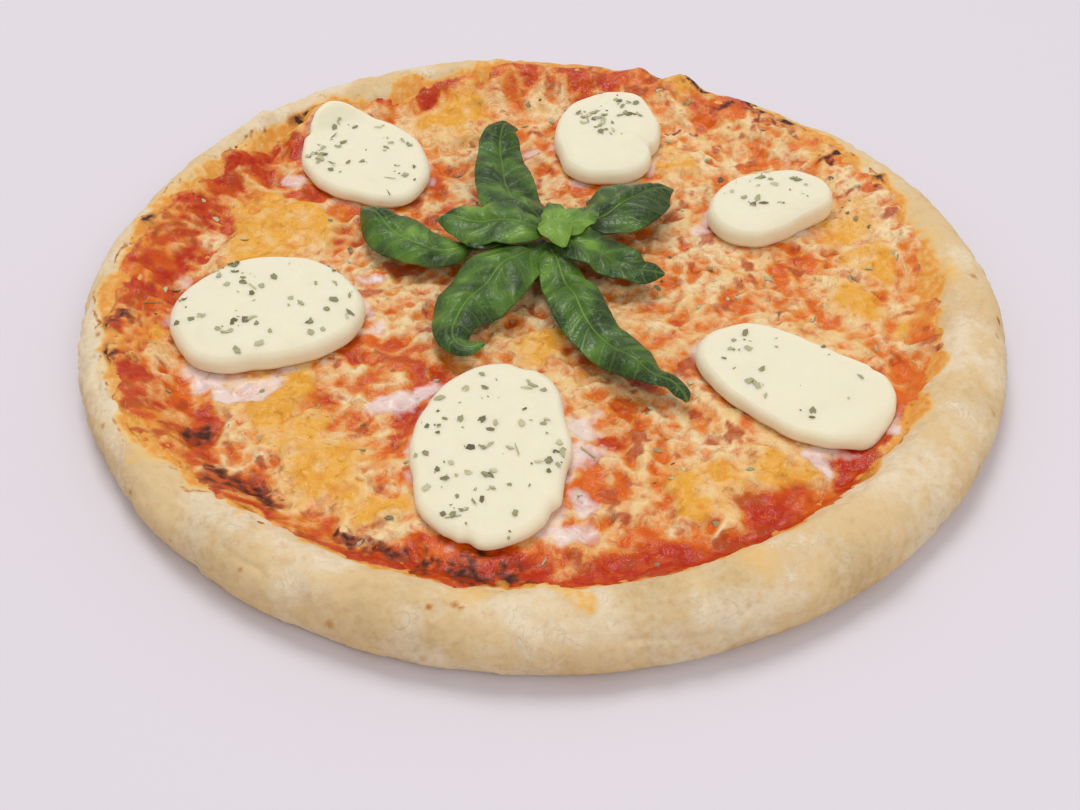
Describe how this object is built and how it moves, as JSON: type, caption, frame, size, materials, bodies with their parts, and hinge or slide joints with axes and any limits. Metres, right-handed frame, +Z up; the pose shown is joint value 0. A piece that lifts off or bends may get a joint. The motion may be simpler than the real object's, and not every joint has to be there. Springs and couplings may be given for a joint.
{
  "type": "cheese pizza",
  "caption": "Round baked pizza with a puffed pale rim, tomato sauce, melted cheese, slices of fresh mozzarella with oregano and a basil sprig in the middle.",
  "frame": {"origin": "on the table under the middle of the pizza", "axes": "+Z up; -Y towards the eater, the side with the slice of mozzarella nearest the rim in front; +X to the eater's right"},
  "size_m": [0.32, 0.3205, 0.0258],
  "materials": {
    "dough": "baked bread crust, floury and matte",
    "tomato_sauce": "baked tomato sauce, moist",
    "melted_cheese": "melted grated cheese, oily sheen, browned in places",
    "mozzarella": "fresh mozzarella, moist and slightly see-through at the edges",
    "basil": "fresh basil leaf, waxy sheen"
  },
  "bodies": {
    "root": {"dough": "dough", "tomato_sauce": "tomato_sauce", "melted_cheese": "melted_cheese", "mozzarella_back": "mozzarella", "mozzarella_back_left": "mozzarella", "mozzarella_front": "mozzarella", "mozzarella_left": "mozzarella", "mozzarella_right": "mozzarella", "mozzarella_right_back": "mozzarella", "basil_leaf_back": "basil", "basil_leaf_back_right": "basil", "basil_leaf_far_left": "basil", "basil_leaf_folded": "basil", "basil_leaf_front_left": "basil", "basil_leaf_front_right": "basil", "basil_leaf_left": "basil", "basil_leaf_right": "basil", "basil_leaf_small": "basil", "basil_leaf_tip_back": "basil", "basil_leaf_tip_front": "basil", "basil_stem": "basil"}
  },
  "joints": []
}
